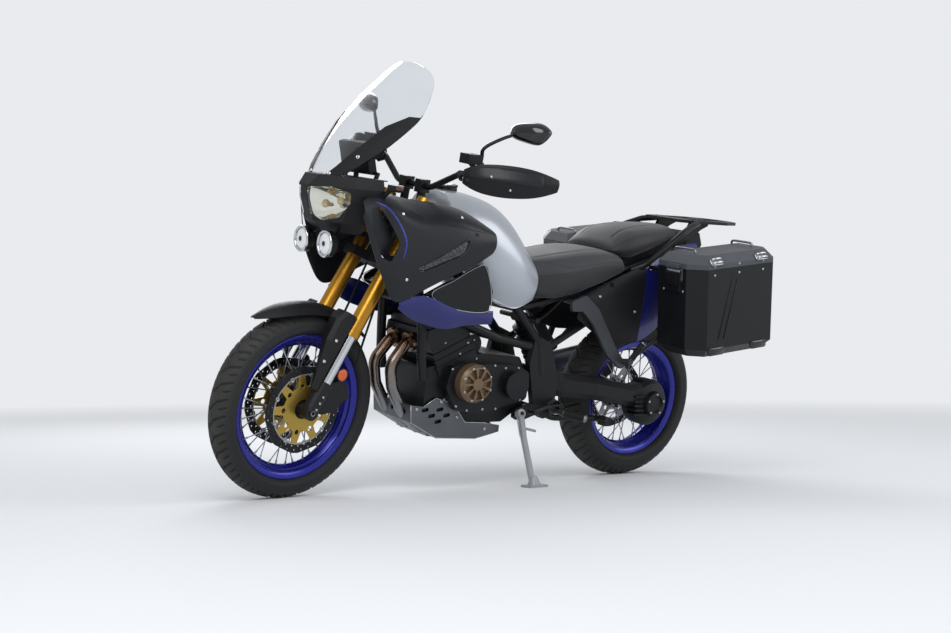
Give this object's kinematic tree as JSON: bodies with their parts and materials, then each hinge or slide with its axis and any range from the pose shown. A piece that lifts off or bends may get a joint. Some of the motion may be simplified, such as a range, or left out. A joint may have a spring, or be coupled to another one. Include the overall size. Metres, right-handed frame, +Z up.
{
  "type": "adventure touring motorcycle",
  "caption": "Adventure touring motorcycle with side cases, parked on its side stand, bars turned a little to the left",
  "frame": {"origin": "on the floor under the middle of the parked motorcycle's bounding box", "axes": "+X forward, +Y to the rider's left, +Z up; the machine leans 10 degrees towards +Y on its side stand"},
  "size_m": [2.3168, 1.0956, 1.5118],
  "materials": {
    "rim_blue": "anodised blue rim with bright spokes",
    "tyre_rubber": "worn black",
    "black_disc": "dark coated disc on a gold carrier",
    "steel_disc": "machined",
    "axle_steel": "turned",
    "black_casting": "satin black coated casting",
    "chrome_tube": "hard chrome",
    "gold_anodised": "gold anodised",
    "black_plastic": "moulded, fine grain",
    "black_painted_tube": "satin black powder coat",
    "grip_rubber": "ribbed grip",
    "gloss_black": "smooth",
    "hose_rubber": "smooth",
    "engine_black": "black coated castings with bright bolts",
    "bronze_cover": "bronze coated cover",
    "header_steel": "heat-tinted",
    "muffler_steel": "satin",
    "skid_aluminium": "bead blasted",
    "tank_silver": "metallic silver-white paint",
    "dark_panel": "dark grey satin panel",
    "panel_blue": "metallic blue",
    "grained_cover": "fine texture with a bright border",
    "lamp_glass": "clear lens over a bright bowl",
    "clear_screen": "clear",
    "lamp_chrome": "bright ring and lens in a black cup",
    "seat_grey": "grey grained cover",
    "seat_black": "black grained cover",
    "rack_black": "satin black",
    "hanger_grey": "black casting with a brushed insert",
    "case_black": "grained case wall",
    "case_lid": "grey lid",
    "stand_grey": "light grey paint"
  },
  "bodies": {
    "chassis": {"engine": "engine_black", "exhaust_pipes": "header_steel", "final_drive": "black_casting", "fog_lamps": "lamp_chrome", "foot_controls": "black_casting", "footpegs": "hanger_grey", "frame": "black_painted_tube", "front_indicators": "black_plastic", "front_stay": "black_painted_tube", "fuel_tank": "tank_silver", "generator_cover": "bronze_cover", "headlamps": "lamp_glass", "instruments": "black_plastic", "left_pannier": "case_black", "left_shroud": "dark_panel", "lower_panels": "panel_blue", "muffler": "muffler_steel", "nose_cowl": "dark_panel", "pannier_carriers": "rack_black", "pillion_seat": "seat_black", "radiator_covers": "grained_cover", "rear_caliper": "black_casting", "rear_fender": "black_plastic", "rear_rack": "rack_black", "rear_shock": "black_painted_tube", "rider_seat": "seat_grey", "right_pannier": "case_black", "right_shroud": "dark_panel", "screen_panels": "black_plastic", "seat_pans": "black_plastic", "skid_plate": "skid_aluminium", "subframe": "black_painted_tube", "swingarm": "black_casting", "tail_accents": "panel_blue", "tail_covers": "black_plastic", "windscreen": "clear_screen"},
    "steering": {"front_axle": "axle_steel", "fork_lugs": "black_casting", "front_calipers": "black_casting", "fork_stanchions": "chrome_tube", "fork_outer_tubes": "gold_anodised", "triple_clamps": "black_casting", "front_fender": "black_plastic", "handlebar": "black_painted_tube", "hand_grips": "grip_rubber", "hand_controls": "black_plastic", "hand_guards": "black_plastic", "mirrors": "gloss_black", "brake_hoses": "hose_rubber"},
    "front_wheel": {"front_wheel": "rim_blue", "front_tyre": "tyre_rubber", "front_brake_discs": "black_disc"},
    "rear_wheel": {"rear_wheel": "rim_blue", "rear_tyre": "tyre_rubber", "rear_brake_disc": "steel_disc"},
    "side_stand": {"side_stand": "stand_grey"},
    "centre_stand": {"centre_stand": "black_painted_tube"},
    "left_lid": {"left_lid": "case_lid"},
    "right_lid": {"right_lid": "case_lid"}
  },
  "joints": [
    {"name": "steering", "type": "hinge", "parent": "chassis", "child": "steering", "pos_m": [0.47112, -0.01104, 0.90338], "axis": [-0.4679, 0.1533, 0.8704], "range_deg": [-41.7, 24.3]},
    {"name": "front_wheel", "type": "hinge", "parent": "steering", "child": "front_wheel", "pos_m": [0.83186, -0.10697, 0.32103], "axis": [-0.134, 0.9611, -0.2413], "continuous": true},
    {"name": "rear_wheel", "type": "hinge", "parent": "chassis", "child": "rear_wheel", "pos_m": [-0.70771, -0.11476, 0.31737], "axis": [-0.0003, 0.9848, -0.1736], "continuous": true},
    {"name": "side_stand", "type": "hinge", "parent": "chassis", "child": "side_stand", "pos_m": [-0.0478, 0.04113, 0.26733], "axis": [0.0395, 0.9789, 0.2007], "range_deg": [0, 76]},
    {"name": "centre_stand", "type": "hinge", "parent": "chassis", "child": "centre_stand", "pos_m": [-0.17375, -0.11841, 0.2957], "axis": [0.0003, -0.9848, 0.1736], "range_deg": [0, 95], "stiffness_Nm_per_rad": 15, "springref_deg": -51.57},
    {"name": "left_lid", "type": "hinge", "parent": "chassis", "child": "left_lid", "pos_m": [-0.98549, 0.34422, 0.8621], "axis": [0.0003, -0.9848, 0.1736], "range_deg": [0, 75]},
    {"name": "right_lid", "type": "hinge", "parent": "chassis", "child": "right_lid", "pos_m": [-0.98526, -0.35992, 0.98626], "axis": [0.0003, -0.9848, 0.1736], "range_deg": [0, 75]}
  ]
}
